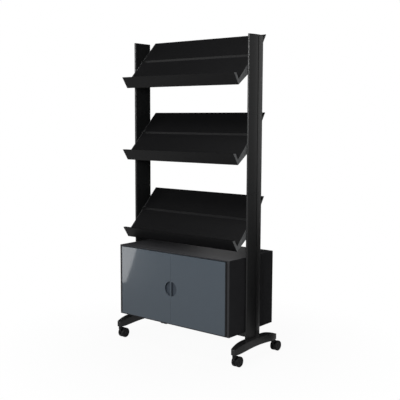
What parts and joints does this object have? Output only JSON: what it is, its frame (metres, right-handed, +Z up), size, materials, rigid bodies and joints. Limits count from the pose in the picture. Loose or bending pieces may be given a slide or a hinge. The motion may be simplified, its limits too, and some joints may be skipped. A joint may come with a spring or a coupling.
{
  "type": "periodical display rack",
  "caption": "Mobile periodical display rack: slanted lipped shelf trays between slim posts above a low cabinet with hinged doors, on arched feet with swivel casters.",
  "frame": {"origin": "on the floor under the middle of the whole rack", "axes": "+Z up, -Y towards the front with the doors, +X towards the right post seen from the front"},
  "size_m": [0.848, 0.4288, 1.6685],
  "materials": {
    "post_metal": "black powder coat, satin",
    "foot_metal": "black powder coat, satin",
    "shelf_black": "black paint, satin",
    "bracket_grey": "grey paint, satin",
    "carcass_grey": "dark grey laminate, satin",
    "door_slate": "slate grey lacquer, gloss",
    "pull_grey": "moulded, satin",
    "caster_black": "moulded, satin",
    "wheel_black": "moulded, matt tread",
    "trim_black": "moulded, satin",
    "black_steel": "black zinc plating",
    "steel": "zinc plated"
  },
  "bodies": {
    "rack": {"post_low_left": "post_metal", "post_low_right": "post_metal", "post_middle_left": "post_metal", "post_middle_right": "post_metal", "post_top_left": "post_metal", "post_top_right": "post_metal", "post_cap_left": "trim_black", "post_cap_right": "trim_black", "foot_left": "foot_metal", "foot_right": "foot_metal", "caster_stem_front_left": "black_steel", "caster_stem_front_right": "black_steel", "caster_stem_rear_left": "black_steel", "caster_stem_rear_right": "black_steel", "tie_rail": "post_metal", "shelf_tray_low": "shelf_black", "shelf_bracket_low_left": "bracket_grey", "shelf_bracket_low_right": "bracket_grey", "shelf_tray_middle": "shelf_black", "shelf_bracket_middle_left": "bracket_grey", "shelf_bracket_middle_right": "bracket_grey", "shelf_tray_top": "shelf_black", "shelf_bracket_top_left": "bracket_grey", "shelf_bracket_top_right": "bracket_grey", "cabinet_side_left": "carcass_grey", "cabinet_side_right": "carcass_grey", "cabinet_top": "carcass_grey", "cabinet_bottom": "carcass_grey", "cabinet_back": "carcass_grey", "magnetic_catch": "trim_black", "hinge_side_leaf_left": "black_steel", "hinge_pin_left": "black_steel", "hinge_side_leaf_right": "black_steel", "hinge_pin_right": "black_steel"},
    "left_door": {"door_left": "door_slate", "pull_cup_left": "pull_grey", "strike_plate_left": "steel", "hinge_door_leaf_left": "black_steel"},
    "right_door": {"door_right": "door_slate", "pull_cup_right": "pull_grey", "strike_plate_right": "steel", "hinge_door_leaf_right": "black_steel"},
    "front_left_caster": {"caster_housing_front_left": "caster_black", "caster_axle_front_left": "steel"},
    "front_left_left_wheel": {"caster_wheel_front_left_left": "wheel_black"},
    "front_left_right_wheel": {"caster_wheel_front_left_right": "wheel_black"},
    "front_right_caster": {"caster_housing_front_right": "caster_black", "caster_axle_front_right": "steel"},
    "front_right_left_wheel": {"caster_wheel_front_right_left": "wheel_black"},
    "front_right_right_wheel": {"caster_wheel_front_right_right": "wheel_black"},
    "rear_left_caster": {"caster_housing_rear_left": "caster_black", "caster_axle_rear_left": "steel"},
    "rear_left_left_wheel": {"caster_wheel_rear_left_left": "wheel_black"},
    "rear_left_right_wheel": {"caster_wheel_rear_left_right": "wheel_black"},
    "rear_right_caster": {"caster_housing_rear_right": "caster_black", "caster_axle_rear_right": "steel"},
    "rear_right_left_wheel": {"caster_wheel_rear_right_left": "wheel_black"},
    "rear_right_right_wheel": {"caster_wheel_rear_right_right": "wheel_black"}
  },
  "joints": [
    {"name": "left_door_hinge", "type": "hinge", "parent": "rack", "child": "left_door", "pos_m": [-0.363, -0.21065, 0.34905], "axis": [0, 0, -1], "range_deg": [0, 110]},
    {"name": "right_door_hinge", "type": "hinge", "parent": "rack", "child": "right_door", "pos_m": [0.363, -0.21065, 0.34905], "axis": [0, 0, 1], "range_deg": [0, 110]},
    {"name": "front_left_caster_swivel", "type": "hinge", "parent": "rack", "child": "front_left_caster", "pos_m": [-0.402, -0.18865, 0.06], "axis": [0, 0, 1], "continuous": true},
    {"name": "front_left_left_wheel_spin", "type": "hinge", "parent": "front_left_caster", "child": "front_left_left_wheel", "pos_m": [-0.402, -0.16265, 0.027], "axis": [1, 0, 0], "continuous": true},
    {"name": "front_left_right_wheel_spin", "type": "hinge", "parent": "front_left_caster", "child": "front_left_right_wheel", "pos_m": [-0.402, -0.16265, 0.027], "axis": [1, 0, 0], "continuous": true},
    {"name": "front_right_caster_swivel", "type": "hinge", "parent": "rack", "child": "front_right_caster", "pos_m": [0.402, -0.18865, 0.06], "axis": [0, 0, 1], "continuous": true},
    {"name": "front_right_left_wheel_spin", "type": "hinge", "parent": "front_right_caster", "child": "front_right_left_wheel", "pos_m": [0.402, -0.16265, 0.027], "axis": [1, 0, 0], "continuous": true},
    {"name": "front_right_right_wheel_spin", "type": "hinge", "parent": "front_right_caster", "child": "front_right_right_wheel", "pos_m": [0.402, -0.16265, 0.027], "axis": [1, 0, 0], "continuous": true},
    {"name": "rear_left_caster_swivel", "type": "hinge", "parent": "rack", "child": "rear_left_caster", "pos_m": [-0.402, 0.16135, 0.06], "axis": [0, 0, 1], "continuous": true},
    {"name": "rear_left_left_wheel_spin", "type": "hinge", "parent": "rear_left_caster", "child": "rear_left_left_wheel", "pos_m": [-0.402, 0.18735, 0.027], "axis": [1, 0, 0], "continuous": true},
    {"name": "rear_left_right_wheel_spin", "type": "hinge", "parent": "rear_left_caster", "child": "rear_left_right_wheel", "pos_m": [-0.402, 0.18735, 0.027], "axis": [1, 0, 0], "continuous": true},
    {"name": "rear_right_caster_swivel", "type": "hinge", "parent": "rack", "child": "rear_right_caster", "pos_m": [0.402, 0.16135, 0.06], "axis": [0, 0, 1], "continuous": true},
    {"name": "rear_right_left_wheel_spin", "type": "hinge", "parent": "rear_right_caster", "child": "rear_right_left_wheel", "pos_m": [0.402, 0.18735, 0.027], "axis": [1, 0, 0], "continuous": true},
    {"name": "rear_right_right_wheel_spin", "type": "hinge", "parent": "rear_right_caster", "child": "rear_right_right_wheel", "pos_m": [0.402, 0.18735, 0.027], "axis": [1, 0, 0], "continuous": true}
  ]
}
